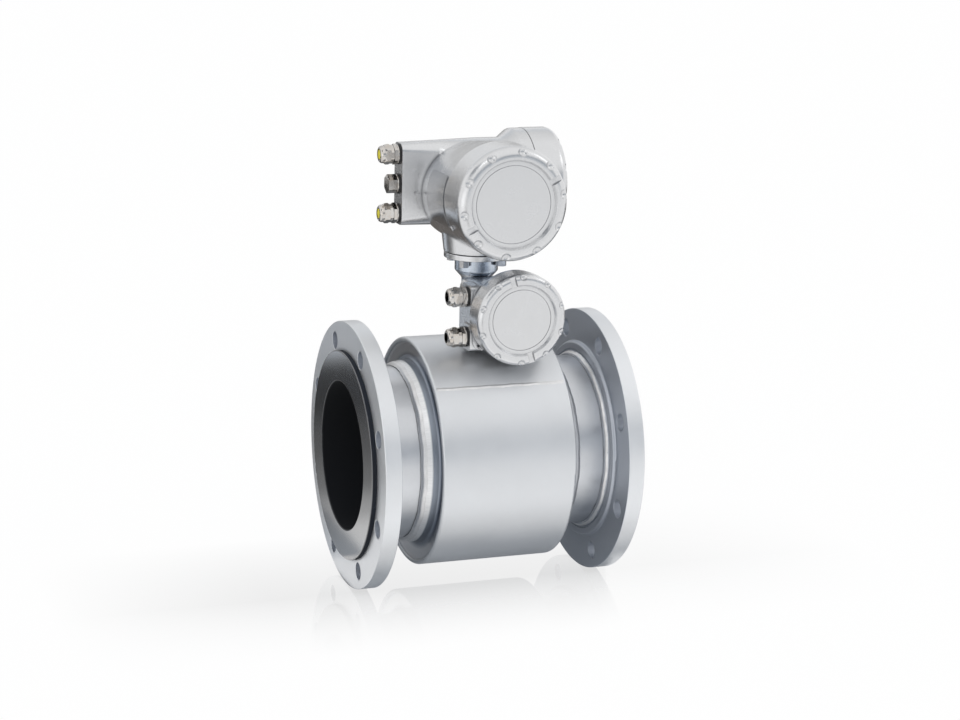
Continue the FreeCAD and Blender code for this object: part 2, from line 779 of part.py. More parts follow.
def o_ring(size):
    """Seal ring in the groove behind a cover's skirt."""
    outer = spigot_r(size)
    groove_r = outer - o_ring_thickness
    back = -o_ring_thickness - fit_gap
    return lathe([(groove_r, back, 0.9), (outer, back, 0.9), (outer, -fit_gap, 0.9),
                  (groove_r, -fit_gap, 0.9)])


def lock_screw():
    """Small cylinder-head screw that keeps a cover from turning, built about local Z."""
    head = lathe([(0, fit_gap), (lock_screw_head_r, fit_gap), (lock_screw_head_r, lock_screw_head, 0.5),
                  (0, lock_screw_head)])
    socket = hexagon(lock_screw_socket, lock_screw_head / 2, lock_screw_head + 1)
    return fused(tube(lock_screw_r, 0, -lock_screw_depth, fit_gap), head).cut(socket)


# Converter housing


def side_box(wall):
    """Body between the rectangular cable side and the round terminal body, shrunk by a wall."""
    half_y, half_z = side_half_width - wall, side_half_height - wall
    end_r = terminal_body_r - wall

    def section(x, a, b, corner):
        return outline([(-a, -b, corner), (a, -b, corner), (a, b, corner), (-a, b, corner)],
                       lambda p, q: Vector(x, terminal_y + p, terminal_z + q))
    rectangle = section(side_x + wall, half_y, half_z, side_corner - wall * 0.5)
    waist = section(waist_x, waist_half_width - wall, waist_half_height - wall, waist_corner - wall * 0.8)
    circle = section(round_start, end_r, end_r, end_r - 0.5)
    return Part.makeLoft([rectangle, waist, circle], True, True)


def terminal_body(wall):
    """Round terminal body with its shoulder and threaded band, shrunk by a wall."""
    start = round_start - terminal_seam
    band = -terminal_band_length
    shoulder = band - terminal_shoulder_length
    r = terminal_body_r - wall
    outer = terminal_band_r - wall
    section = [(0, start), (r, start), (r, shoulder, terminal_hollow), (outer, band, terminal_bulge),
               (outer, -seat_gap, 0.8), (0, -seat_gap)]
    return aim(lathe(section), Vector(terminal_seam, terminal_y, terminal_z), X)


def converter_neck():
    """Slightly flared neck under the display barrel, bolted to the neck ring."""
    bottom = neck_ring_top + neck_gasket_thickness
    return lathe([(0, bottom), (converter_neck_r, bottom, 0.8),
                  (converter_neck_top_r, bottom + converter_neck_taper), (converter_neck_top_r, display_z),
                  (0, display_z)])


def barrel_end(y, drop, half_width, half_height):
    """Upright elliptical wire of four quarters, centred below the display's axis by drop."""
    centre = Vector(0, y, display_z - drop)

    def point(turn):
        angle = math.radians(turn)
        return centre + X * (half_width * math.cos(angle)) + Z * (half_height * math.sin(angle))

    if half_width == half_height:
        quarters = [Part.Arc(point(start), point(start + 45), point(start + 90)).toShape()
                    for start in (0, 90, 180, 270)]
    else:
        ellipse = Part.Ellipse(centre + X * half_width, centre + Z * half_height, centre)
        starts = [ellipse.parameter(point(start)) for start in (0, 90, 180, 270)]
        quarters = [Part.Arc(ellipse, start, start + math.pi / 2).toShape() for start in starts]
    return Part.Wire(quarters)


def barrel_taper(grow):
    """Rear of the display barrel, which sinks to the height of the terminal body, grown all round."""
    outer = display_barrel_r + grow
    front = barrel_end(-display_seam + display_band_length, 0, outer, outer)
    rear = barrel_end(display_back, display_back_drop, display_back_half_width + grow,
                      display_back_half_height + grow)
    return Part.makeLoft([front, rear], True, True)


def display_barrel():
    """Round barrel behind the display cover with its tapered rear."""
    length = display_band_length - seat_gap
    band = Part.makeCylinder(display_barrel_r, length, Vector(0, seat_gap - display_seam, display_z), Y)
    return fused(band, barrel_taper(0.0))


converter_seats = [Vector(side_x, terminal_y, terminal_z + step * converter_gland_pitch)
                   for step in (1, 0, -1)]


def converter_housing():
    """Cast housing: display barrel, terminal body, cable side and neck in one piece."""
    solid = fused(display_barrel(), terminal_body(0.0), side_box(0.0), converter_neck())
    display_mouth = Vector(0, -display_seam - 1, display_z)
    solid = solid.cut(Part.makeCylinder(thread_r(display_cover), display_cavity_depth + 1,
                                        display_mouth, Y))
    terminal_mouth = Vector(terminal_seam + 1, terminal_y, terminal_z)
    solid = solid.cut(Part.makeCylinder(thread_r(terminal_cover), terminal_cover.spigot_length + 3,
                                        terminal_mouth, -X))
    inner_r = terminal_body_r - side_wall
    solid = solid.cut(Part.makeCylinder(inner_r, terminal_seam - round_start + 1, terminal_mouth, -X))
    solid = solid.cut(side_box(side_wall))
    bottom = neck_ring_top
    solid = solid.cut(Part.makeCylinder(converter_neck_bore_r, terminal_z - bottom,
                                        Vector(0, 0, bottom), Z))
    for seat in converter_seats:
        solid = solid.cut(Part.makeCylinder(gland_hole_r, gland_shank_length + 4, seat - X, X))
    for centre in neck_screw_places():
        solid = solid.cut(Part.makeCylinder(neck_screw_r + fit_gap,
                                            neck_gasket_thickness + neck_screw_depth, centre, Z))
    return solid.cut(lock_hole("display")).cut(lock_hole("terminal"))


# Small fittings on the outside of the housings


def side_plate():
    """Plain curved plate on the left of the display barrel."""
    sheet = barrel_taper(seat_gap + side_plate_thickness).cut(barrel_taper(seat_gap))
    start, end = side_plate_angles
    hub = Vector(0, side_plate_start - display_seam, display_z)
    rays = [hub + (X * math.cos(math.radians(a)) + Z * math.sin(math.radians(a))) * 2 * display_barrel_r
            for a in (start, (start + end) / 2, end)]
    wedge = Part.Face(Part.makePolygon([hub] + rays + [hub])).extrude(Y * side_plate_length)
    return sheet.common(wedge)


def lock_screws():
    """One lock screw behind the seam of each cover."""
    return {cover + "_lock_screw": aim(lock_screw(), *lock_place(cover))
            for cover in ("display", "junction", "terminal")}


def side_box_half_width(x):
    """Half width of the cable side body at x, before the waist."""
    share = (x - side_x) / (waist_x - side_x)
    return side_half_width + share * (waist_half_width - side_half_width)


def seal_eyelet():
    """Wire eye on the housing's front, for a seal."""
    ring = Part.makeTorus(eyelet_r, eyelet_wire_r)
    stem = Part.makeCylinder(eyelet_wire_r, 2.0, Vector(0, eyelet_r - 0.2, 0), Y)
    face_y = terminal_y - side_box_half_width(eyelet_x)
    return moved(fused(ring, stem), FreeCAD.Placement(Vector(eyelet_x, face_y - eyelet_r - 1.8, eyelet_z),
                                                      FreeCAD.Rotation(X, 20)))


# Electronics, terminals and wiring


def electronics_carrier():
    """Moulded cup on the floor of the display compartment, with a shelf for the board."""
    outer = spigot_r(display_cover) - spigot_wall - carrier_gap
    inner = outer - carrier_wall
    shelf = carrier_height - board_depth
    cup = lathe([(0, 0), (outer, 0, 1.0), (outer, carrier_height, 1.0), (inner, carrier_height),
                 (inner, shelf), (inner - 3.0, shelf), (inner - 3.0, 4.0, 2.0), (0, 4.0)])
    return aim(cup, Vector(0, display_cavity_depth - display_seam, display_z), -Y)


def electronics_board():
    """Round circuit board with its transformer, capacitors and connectors."""
    inner = spigot_r(display_cover) - spigot_wall - carrier_gap - carrier_wall
    board = tube(inner - fit_gap, 0, 0, board_thickness)
    parts = []
    for size, x, y in ((transformer, transformer_x, 0), (connector, connector_x, connector_y),
                       (connector, connector_x, -connector_y), (chip, chip_x, 0)):
        corner = Vector(x - size[0] / 2, y - size[1] / 2, board_thickness)
        parts.append(Part.makeBox(*size, corner))
    for x in capacitor_rows:
        for y in (capacitor_y, -capacitor_y):
            parts.append(Part.makeCylinder(capacitor_r, capacitor_height, Vector(x, y, board_thickness), Z))
    solid = fused(board, *parts)
    place = display_seam - display_cavity_depth + carrier_height - board_depth
    return aim(solid, Vector(0, -place, display_z), -Y)


def terminal_strip(length, width, height, ways):
    """Strip of screw terminals along local X with its base at zero."""
    base = plate(length / 2, width / 2, 1.0, lambda a, b: Vector(a, b, 0), Z * (height * 0.55))
    head = plate(length / 2, width / 4, 0.8, lambda a, b: Vector(a, b, 0), Z * height)
    strip = fused(base, head)
    pitch = length / ways
    for index in range(ways):
        x = (index + 0.5) * pitch - length / 2
        strip = strip.cut(Part.makeCylinder(pitch * 0.3, height, Vector(x, 0, height - 3.0), Z))
        for side in (1, -1):
            mouth = Vector(x, side * (width / 2 + 1), height * 0.3)
            strip = strip.cut(Part.makeCylinder(pitch * 0.22, width / 4 + 1, mouth, Y * -side))
    return strip


def terminal_plate():
    """Partition across the terminal compartment with a hole for the wires."""
    disc_r = terminal_body_r - side_wall - seat_gap
    disc = tube(disc_r, 0, 0, terminal_plate_thickness)
    disc = disc.cut(Part.makeCylinder(terminal_plate_hole_r, terminal_plate_thickness,
                                       Vector(terminal_plate_hole_drop, 0, 0), Z))
    return aim(disc, Vector(terminal_plate_x, terminal_y, terminal_z), X)


def terminal_block():
    """Terminal strip for power and signals on the partition."""
    strip = terminal_strip(terminal_block_length, terminal_block_width, terminal_block_height,
                           terminal_ways)
    front = terminal_plate_x + terminal_plate_thickness
    return aim(strip, Vector(front, terminal_y, terminal_z), X, 90)


def junction_terminal_block():
    """Terminal strip on two feet at the back of the junction box, level with both harnesses."""
    strip = terminal_strip(junction_block_length, junction_block_width, junction_block_height,
                           junction_ways)
    foot = plate(junction_block_foot_half, junction_block_width / 3, 1.0,
                 lambda a, b: Vector(a, b, -junction_block_feet), Z * junction_block_feet)
    feet = [aim(foot, Vector(x, 0, 0), Z) for x in junction_block_feet_at]
    back = box_back + box_cavity_floor + junction_block_feet
    middle_z = (sensor_harness_z + interface_harness_z) / 2
    return aim(fused(strip, *feet), Vector(junction_block_x, -back, middle_z), -Y)


def cable(points, radius):
    """Round bundle along straight runs joined by the largest tangent arcs that fit."""
    edges = []
    start = points[0]
    for before, corner, after in zip(points, points[1:], points[2:]):
        back, ahead = before - corner, after - corner
        trim = 0.45 * min(back.Length, ahead.Length)
        back, ahead = back.normalize(), ahead.normalize()
        half = back.getAngle(ahead) / 2
        bend_r = trim * math.tan(half)
        middle = corner + (back + ahead).normalize() * (bend_r / math.sin(half) - bend_r)
        edges.append(Part.makeLine(start, corner + back * trim))
        edges.append(Part.Arc(corner + back * trim, middle, corner + ahead * trim).toShape())
        start = corner + ahead * trim
    edges.append(Part.makeLine(start, points[-1]))
    section = Part.Wire(Part.makeCircle(radius, points[0], points[1] - points[0]))
    return Part.Wire(edges).makePipeShell([section], True, True)


def harnesses():
    """Wire bundles from the coils to the junction box and on to the converter."""
    block_back = -(box_back + box_cavity_floor + junction_block_feet)
    sensor = cable([Vector(0, 0, yoke_outer_r + seat_gap), Vector(0, 0, sensor_harness_z),
                    Vector(0, block_back, sensor_harness_z)], harness_r)
    x = interface_harness_x
    interface = cable([Vector(x, block_back, interface_harness_z), Vector(x, 0, interface_harness_z),
                       Vector(x, 0, interface_harness_top),
                       Vector(terminal_plate_x, 0, interface_harness_top)], harness_r)
    return {"sensor_harness": sensor, "interface_harness": interface}


def export(shapes):
    """Writes each node to its own file."""
    os.makedirs("parts", exist_ok=True)
    for name, shape in shapes.items():
        shape.exportStep("parts/" + name + ".step")


def sensor_nodes():
    """Tube, flanges, coil housing and what is inside it."""
    inlet_flange, outlet_flange = reversed(both_ends(flange()))
    inlet_plate, outlet_plate = reversed(both_ends(end_plate()))
    front = electrode()
    shoe, winding = pole_shoe(), coil()
    return {"liner": liner(), "measuring_tube": measuring_tube(), "inlet_flange": inlet_flange,
            "outlet_flange": outlet_flange, "coil_housing": coil_housing(), "inlet_end_plate": inlet_plate,
            "outlet_end_plate": outlet_plate, "upper_pole_shoe": shoe, "lower_pole_shoe": below(shoe),
            "upper_coil": winding, "lower_coil": below(winding), "return_yoke": return_yoke(),
            "front_electrode": front, "rear_electrode": front.mirror(Vector(), Y)}


def gland_nodes(prefix, seat, plugged):
    """The pieces of one gland on the cable side at seat, mouth towards -X."""
    shapes = {"_washer": gland_washer(), "_body": gland_body(), "_insert": gland_insert(),
              "_nut": gland_nut()}
    if plugged:
        shapes["_dust_plug"] = dust_plug()
    return {prefix + name: aim(shape, seat, -X) for name, shape in shapes.items()}


def junction_nodes():
    """Junction box with its cover and glands, and the joint under the converter."""
    seam = Vector(box_x, -junction_seam, junction_z)
    nodes = {"junction_body": junction_body(),
             "junction_cover": aim(threaded_cover(junction_cover), seam, -Y),
             "junction_o_ring": aim(o_ring(junction_cover), seam, -Y), "neck_gasket": neck_gasket()}
    for index, centre in enumerate(neck_screw_places()):
        nodes["neck_screw_%d" % (index + 1)] = aim(neck_screw(), centre, Z)
    nodes.update(gland_nodes("upper_gland", gland_seats[0], False))
    nodes.update(gland_nodes("lower_gland", gland_seats[1], False))
    return nodes


def converter_nodes():
    """Converter housing with its two covers, glands and blanking plug."""
    display = Vector(0, -display_seam, display_z)
    terminal = Vector(terminal_seam, terminal_y, terminal_z)
    nodes = {"converter_housing": converter_housing(),
             "display_cover": aim(threaded_cover(display_cover), display, -Y),
             "display_o_ring": aim(o_ring(display_cover), display, -Y),
             "terminal_cover": aim(threaded_cover(terminal_cover), terminal, X),
             "terminal_o_ring": aim(o_ring(terminal_cover), terminal, X)}
    nodes.update(gland_nodes("power_gland", converter_seats[0], True))
    nodes.update(gland_nodes("signal_gland", converter_seats[2], True))
    nodes["plug_washer"] = aim(gland_washer(), converter_seats[1], -X)
    nodes["blanking_plug"] = aim(blanking_plug(), converter_seats[1], -X)
    return nodes


def inner_nodes():
    """Electronics and terminals inside the housings."""
    return {"electronics_carrier": electronics_carrier(), "electronics_board": electronics_board(),
            "terminal_plate": terminal_plate(), "terminal_block": terminal_block(),
            "junction_terminal_block": junction_terminal_block()}


nodes = {}
nodes.update(sensor_nodes())
nodes.update(junction_nodes())
nodes.update(converter_nodes())
nodes.update(lock_screws())
nodes.update(inner_nodes())
nodes.update(harnesses())
nodes["side_plate"] = side_plate()
nodes["seal_eyelet"] = seal_eyelet()
export(nodes)
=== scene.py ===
import json
import math

import bpy
import bmesh
from mathutils import Matrix, Vector


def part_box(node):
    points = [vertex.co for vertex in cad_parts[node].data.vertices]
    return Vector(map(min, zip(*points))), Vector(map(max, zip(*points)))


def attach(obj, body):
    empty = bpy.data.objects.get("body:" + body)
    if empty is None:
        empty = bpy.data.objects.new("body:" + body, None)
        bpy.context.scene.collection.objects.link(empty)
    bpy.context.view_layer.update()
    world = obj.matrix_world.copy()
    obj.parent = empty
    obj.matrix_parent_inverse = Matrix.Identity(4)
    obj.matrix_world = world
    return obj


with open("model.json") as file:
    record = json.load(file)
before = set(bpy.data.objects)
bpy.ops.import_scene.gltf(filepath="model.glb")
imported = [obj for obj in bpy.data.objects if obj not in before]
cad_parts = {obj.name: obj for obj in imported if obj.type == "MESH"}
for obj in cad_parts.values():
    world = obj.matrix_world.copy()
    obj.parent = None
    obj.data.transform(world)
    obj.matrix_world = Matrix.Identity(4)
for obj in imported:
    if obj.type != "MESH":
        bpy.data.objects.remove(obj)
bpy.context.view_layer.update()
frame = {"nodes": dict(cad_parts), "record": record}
nodes = frame["nodes"]

FLOOR_Z = -0.170
FLOOR_REACH = 30.0
FLOOR_TINT = (0.97, 0.975, 0.98)
FLOOR_WHITE_SHARE = 0.95    # share of plain white in what the camera and reflections see of it
FLOOR_SHINE = 0.30
SHINE_ROUGHNESS = 0.03
SHINE_FALL = 1.6            # power by which the shine fades towards the camera
SHINE_START = -0.04         # y where the floor's shine begins to fade
SHINE_END = -0.26           # y where it is gone
SHINE_BACK = 0.20           # y behind the object where it is gone
SHINE_SIDE = 0.55           # x to either side where it is gone
LAYERS = (0.0004, 0.0006, 0.0008, 0.0010)    # heights over the floor for cards that cross
CENTRE = Vector((0.0, 0.0, 0.11))
ALONG_FLOW = Vector((1, 0, 0))

# Places on the frame that the finishes and beads follow
LINER_END_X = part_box("liner")[1][0]
FLANGE_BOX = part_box("outlet_flange")
COLLAR_R = 0.1160
BORE_R = 0.0940
BOLT_CIRCLE_R = FLANGE_BOX[1][1] - 0.0225
BOLT_HOLE_R = 0.0110
BOLT_COUNT = 8
INNER_FACE_X = FLANGE_BOX[1][0] - 0.0210
COLLAR_END_X = 0.0915
COLUMN_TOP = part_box("junction_body")[1][2]
BLUE_SHADE_R = 0.0215           # radius from the column's axis at which its painted bluish shade has faded out
NECK_FOOT_Z = 0.2265        # where the column leaves the junction box
NECK_RING = 0.0070          # height of the ring at the top of the column
HOUSING_R = 0.1455
SEAM_HALF = 0.0835          # half the length of the seam along the coil housing
WELD_R = 0.1128
COLLAR_WELD_X = 0.1018
FLANGE_WELD_X = 0.1395

SHADE_REACH = 0.006          # how far the painted shade in recesses looks for an opposite wall, in metres
# Tint of the painted shade in recesses
SHADE_TINT = (0.16, 0.165, 0.18)
MIX_FIRST, MIX_SECOND, MIX_RESULT = 6, 7, 2    # colour sockets of the mix node


# Materials. Every one is worked out from the object's own coordinates, in metres.

class Maker:
    """A node material with short calls for the nodes that the finishes share."""

    def __init__(self, name):
        self.material = bpy.data.materials.new(name)
        self.material.use_nodes = True
        self.tree = self.material.node_tree
        self.shader = self.tree.nodes["Principled BSDF"]
        self.place = self.node("ShaderNodeTexCoord").outputs["Object"]
        self.normal = None

    def node(self, kind, **values):
        made = self.tree.nodes.new(kind)
        for key, value in values.items():
            setattr(made, key, value)
        return made

    def link(self, source, target):
        self.tree.links.new(source, target)

    def stretched(self, scale):
        mapping = self.node("ShaderNodeMapping")
        mapping.inputs["Scale"].default_value = scale
        self.link(self.place, mapping.inputs["Vector"])
        return mapping.outputs["Vector"]

    def noise(self, scale, detail=3.0, rough=0.55, vector=None):
        made = self.node("ShaderNodeTexNoise")
        made.inputs["Scale"].default_value = scale
        made.inputs["Detail"].default_value = detail
        made.inputs["Roughness"].default_value = rough
        self.link(vector or self.place, made.inputs["Vector"])
        return made.outputs["Fac"]

    def ramp(self, source, low, high, out_low=0.0, out_high=1.0):
        made = self.node("ShaderNodeMapRange")
        limits = {"From Min": low, "From Max": high, "To Min": out_low, "To Max": out_high}
        for key, value in limits.items():
            made.inputs[key].default_value = value
        self.link(source, made.inputs["Value"])
        return made.outputs["Result"]

    def spread(self, noise, out_low=0.0, out_high=1.0):
        """Noise drawn out over the range that it mostly fills."""
        return self.ramp(noise, 0.3, 0.7, out_low, out_high)

    def math(self, operation, first, second=None):
        made = self.node("ShaderNodeMath", operation=operation)
        for socket, value in zip(made.inputs, (first, second)):
            if isinstance(value, (int, float)):
                socket.default_value = value
            elif value is not None:
                self.link(value, socket)
        return made.outputs[0]

    def axes(self):
        split = self.node("ShaderNodeSeparateXYZ")
        self.link(self.place, split.inputs[0])
        return split.outputs

    def radius(self, first, second):
        squares = [self.math("MULTIPLY", axis, axis) for axis in (first, second)]
        return self.math("SQRT", self.math("ADD", *squares))

    def scratches(self, along, around):
        """Noise laid round the flow axis, with its scale along the axis and round it."""
        x, y, z = self.axes()
        flat = self.node("ShaderNodeCombineXYZ")
        self.link(self.math("MULTIPLY", x, along), flat.inputs[0])
        self.link(self.math("MULTIPLY", self.math("ARCTAN2", z, y), around), flat.inputs[1])
        return self.noise(1.0, 4.0, 0.7, flat.outputs[0])

    def mix(self, factor, first, second, blend="MIX"):
        """Mix of two colours, each a tuple or a socket."""
        made = self.node("ShaderNodeMix", data_type="RGBA", blend_type=blend)
        for socket, value in ((made.inputs[MIX_FIRST], first), (made.inputs[MIX_SECOND], second)):
            if isinstance(value, tuple):
                socket.default_value = (*value, 1.0)
            else:
                self.link(value, socket)
        self.link(factor, made.inputs[0])
        return made.outputs[MIX_RESULT]

    def with_painted_shade(self, tone, reach, depth):
        """Tone with painted shade in grooves, dimples and gaps, darker where they are closed in."""
        open_share = self.node("ShaderNodeAmbientOcclusion", samples=8)
        open_share.inputs["Distance"].default_value = reach
        painted_shade = self.ramp(open_share.outputs["AO"], 0.25, 0.85, depth, 0.0)
        return self.mix(painted_shade, tone, SHADE_TINT, "MULTIPLY")

    def bump(self, height, strength, distance):
        """Bump on top of those made before it."""
        made = self.node("ShaderNodeBump")
        made.inputs["Strength"].default_value = strength
        made.inputs["Distance"].default_value = distance
        self.link(height, made.inputs["Height"])
        if self.normal is not None:
            self.link(self.normal, made.inputs["Normal"])
        self.normal = made.outputs["Normal"]

    def finish(self, color, rough, metallic=0.0, **fixed):
        self.shader.inputs["Metallic"].default_value = metallic
        for key, value in fixed.items():
            self.shader.inputs[key.replace("_", " ")].default_value = value
        self.link(color, self.shader.inputs["Base Color"])
        self.link(rough, self.shader.inputs["Roughness"])
        self.link(self.normal, self.shader.inputs["Normal"])
        return self.material

    def either(self, factor, first, second):
        """Mix of two shaders."""
        made = self.node("ShaderNodeMixShader")
        for socket, source in zip(made.inputs, (factor, first, second)):
            self.link(source, socket)
        return made.outputs[0]

    def show(self, shader):
        """Material with this shader in place of the usual one."""
        self.tree.nodes.remove(self.shader)
        self.link(shader, self.tree.nodes["Material Output"].inputs["Surface"])
        return self.material


def shaded(color, share):
    return tuple(min(1.0, c * share) for c in color)


def steel_grain(m, rough, blotch, grain, grain_depth):
    """Soft clouds and fine specks of blasted steel, and the gloss and bumps that follow them."""
    clouds = m.noise(blotch, 4.0, 0.6)
    specks = m.noise(grain, 2.0, 0.6)
    gloss = m.math("ADD", m.spread(clouds, rough - 0.03, rough + 0.03), m.spread(specks, -0.02, 0.02))
    m.bump(clouds, 0.04, 0.002)
    m.bump(specks, grain_depth, 0.0003)
    return clouds, specks, gloss


def steel_base(m, color, rough, blotch, blotch_depth, grain, grain_depth):
    """Tone and gloss of blasted stainless steel."""
    clouds, specks, gloss = steel_grain(m, rough, blotch, grain, grain_depth)
    darker, lighter = shaded(color, 1 - blotch_depth), shaded(color, 1 + blotch_depth / 2)
    tone = m.mix(m.spread(clouds), darker, lighter)
    tone = m.mix(m.ramp(specks, 0.62, 0.8, 0.0, 0.25), tone, shaded(color, 0.78))
    # Painted shade in recesses darkens the tone
    return m.with_painted_shade(tone, SHADE_REACH, 0.9), gloss


def steel(name, color, rough, blotch, blotch_depth, grain, grain_depth, brushed=None, metallic=1.0):
    """Blasted stainless steel, with fine lines where it is brushed."""
    m = Maker(name)
    tone, gloss = steel_base(m, color, rough, blotch, blotch_depth, grain, grain_depth)
    if brushed:
        lines = m.noise(1.0, 2.0, 0.7, m.stretched(brushed))
        gloss = m.math("ADD", gloss, m.spread(lines, -0.03, 0.03))
        m.bump(lines, 0.08, 0.0003)
    return m.finish(tone, gloss, metallic)


def flange_steel(name, color, rough):
    """Pickled plate steel, with painted shade on the inner faces and in the bolt holes, and broken edges
    round the holes.
    """
    m = Maker(name)
    tone, gloss = steel_base(m, color, rough, blotch=22.0, blotch_depth=0.03,
                             grain=1700.0, grain_depth=0.18)
    x, y, z = m.axes()
    inner_face_shade = m.ramp(m.math("ABSOLUTE", x), INNER_FACE_X + 0.0008, INNER_FACE_X + 0.0002)
    # Painted shade on the inner faces, which face the coil housing
    tone = m.mix(inner_face_shade, tone, (0.48, 0.51, 0.56))
    r = m.radius(y, z)
    sector = math.pi / BOLT_COUNT
    off = m.math("SUBTRACT", sector, m.math("PINGPONG", m.math("ARCTAN2", z, y), sector))
    across = m.math("MULTIPLY", r, m.math("SINE", off))
    along = m.math("SUBTRACT", m.math("MULTIPLY", r, m.math("COSINE", off)), BOLT_CIRCLE_R)
    from_hole = m.radius(across, along)
    hole_shade = m.ramp(from_hole, BOLT_HOLE_R + 0.0004, BOLT_HOLE_R + 0.0001)
    # Painted shade in the bolt holes
    tone = m.mix(hole_shade, tone, (0.55, 0.58, 0.63))
    edge = m.ramp(from_hole, BOLT_HOLE_R + 0.0002, BOLT_HOLE_R + 0.0014)
    m.bump(edge, 1.0, 0.0011)
    return m.finish(tone, gloss, metallic=0.86)


def end_plate_steel(name, rough):
    """End plate: bright ground collar with scratches across it, and a dish beyond with painted shade on
    the collar's side wall deep in it, lighter further out and darker again by the housing's rim.
    """
    m = Maker(name)
    _, _, gloss = steel_grain(m, rough, blotch=30.0, grain=1500.0, grain_depth=0.12)
    x, y, z = m.axes()
    r = m.radius(y, z)
    scratches = m.scratches(60.0, 260.0)
    collar = m.ramp(m.math("ABSOLUTE", x), COLLAR_END_X - 0.0010, COLLAR_END_X + 0.0010)
    ground = m.mix(m.ramp(scratches, 0.35, 0.65), (0.95, 0.95, 0.95), (0.72, 0.735, 0.75))
    # Painted shade on the collar's side wall deep in the dish, lighter further out, then darker again by
    # the housing's rim
    dish_with_shade = m.mix(m.ramp(r, COLLAR_R + 0.0040, COLLAR_R + 0.0110), (0.27, 0.30, 0.35), (0.72, 0.72, 0.73))
    dish_with_shade = m.mix(m.ramp(r, COLLAR_R + 0.0190, COLLAR_R + 0.0250), dish_with_shade, (0.50, 0.52, 0.55))
    tone = m.mix(collar, dish_with_shade, ground)
    gloss = m.math("ADD", gloss, m.math("MULTIPLY", collar, m.spread(scratches, 0.0, 0.14)))
    m.bump(scratches, 0.12, 0.0004)
    return m.finish(tone, gloss, metallic=1.0)


def column_steel(name, color, rough):
    """Cast junction box and top ring; the column between and below them, machined on a lathe, carries a
    painted bluish shade for the dark surroundings it reflects.
    """
    m = Maker(name)
    tone, gloss = steel_base(m, color, rough, blotch=42.0, blotch_depth=0.04,
                             grain=1300.0, grain_depth=0.16)
    x, y, z = m.axes()
    above_box = m.ramp(z, NECK_FOOT_Z, NECK_FOOT_Z + 0.0020)
    below_ring = m.ramp(z, COLUMN_TOP - NECK_RING, COLUMN_TOP - NECK_RING - 0.0010)
    in_column = m.ramp(m.radius(x, y), BLUE_SHADE_R, BLUE_SHADE_R - 0.0020)
    blue_shade = m.math("MAXIMUM", in_column, m.math("MULTIPLY", above_box, below_ring))
    # Painted bluish shade for the dark surroundings that the column reflects
    tone = m.mix(blue_shade, tone, (0.56, 0.615, 0.69))
    return m.finish(tone, gloss, metallic=1.0)


def weld_steel(name, color, rough):
    """Weld bead: pale and rough, with fine spatter and scratches from brushing."""
    m = Maker(name)
    clouds = m.noise(90.0, 4.0, 0.6)
    fine = m.noise(900.0, 3.0, 0.6)
    scratches = m.scratches(60.0, 300.0)
    tone = m.mix(m.ramp(clouds, 0.35, 0.65), color, shaded(color, 0.90))
    tone = m.mix(m.ramp(scratches, 0.5, 0.75, 0.0, 0.45), tone, shaded(color, 0.72))
    m.bump(fine, 0.25, 0.0004)
    m.bump(scratches, 0.25, 0.0004)
    return m.finish(tone, m.spread(clouds, rough - 0.06, rough + 0.08), metallic=1.0)


def nickel(name, color, rough):
    """Plated brass: glossy, with a faint warm cloud and hairlines from handling."""
    m = Maker(name)
    clouds = m.noise(160.0, 3.0, 0.6)
    hairs = m.noise(1.0, 3.0, 0.7, m.stretched((300.0, 2600.0, 900.0)))
    warmer = (color[0] * 0.93, color[1] * 0.88, color[2] * 0.83)
    # The tone carries painted shade in recesses
    tone = m.with_painted_shade(m.mix(m.ramp(clouds, 0.35, 0.65), color, warmer), SHADE_REACH / 2, 1.0)
    gloss = m.math("ADD", m.spread(clouds, rough - 0.03, rough + 0.04),
                   m.ramp(hairs, 0.45, 0.8, 0.0, 0.06))
    m.bump(clouds, 0.05, 0.0006)
    return m.finish(tone, gloss, metallic=1.0)


def rubber(name, color, rough, grain=700.0):
    """Moulded rubber or cable sheath: fine grain, faint bloom and uneven gloss."""
    m = Maker(name)
    clouds = m.noise(45.0, 4.0, 0.6)
    fine = m.noise(grain, 3.0, 0.6)
    lighter = tuple(c * 1.35 + 0.004 for c in color)
    tone = m.mix(m.ramp(clouds, 0.35, 0.7), color, lighter)
    gloss = m.math("ADD", m.spread(clouds, rough - 0.05, rough + 0.05), m.spread(fine, -0.03, 0.03))
    m.bump(fine, 0.15, 0.0004)
    return m.finish(tone, gloss)


def lining(name, color):
    """Hard rubber lining: smooth and glossy on its faces, dull in the bore, where painted shade makes it
    nearly black.
    """
    m = Maker(name)
    clouds = m.noise(26.0, 4.0, 0.6)
    fine = m.noise(900.0, 3.0, 0.6)
    x, y, z = m.axes()
    off_bore = m.ramp(m.radius(y, z), BORE_R + 0.0003, BORE_R + 0.0018)
    end = m.ramp(m.math("ABSOLUTE", x), LINER_END_X - 0.0016, LINER_END_X - 0.0004)
    face = m.math("MULTIPLY", off_bore, end)
    tone = m.mix(m.ramp(clouds, 0.35, 0.7), color, shaded(color, 1.5))
    # Painted shade: the bore is much darker than the faces
    tone = m.mix(off_bore, shaded(color, 0.35), tone)
    gloss = m.math("ADD", m.ramp(face, 0.0, 1.0, 0.80, 0.16), m.spread(clouds, -0.02, 0.03))
    m.bump(fine, 0.06, 0.0003)
    m.link(face, m.shader.inputs["Coat Weight"])
    m.link(m.ramp(face, 0.0, 1.0, 1.35, 1.9), m.shader.inputs["IOR"])
    return m.finish(tone, gloss, Coat_IOR=2.0, Coat_Roughness=0.14)


def plastic(name, color, rough):
    """Moulded plastic with a fine eroded texture and slight flow marks."""
    m = Maker(name)
    flow = m.noise(1.0, 3.0, 0.6, m.stretched((120.0, 40.0, 120.0)))
    fine = m.noise(1600.0, 2.0, 0.6)
    tone = m.mix(m.ramp(flow, 0.35, 0.65), color, shaded(color, 0.90))
    gloss = m.math("ADD", m.spread(flow, rough - 0.04, rough + 0.04), m.spread(fine, -0.03, 0.03))
    m.bump(fine, 0.10, 0.0002)
    return m.finish(tone, gloss)


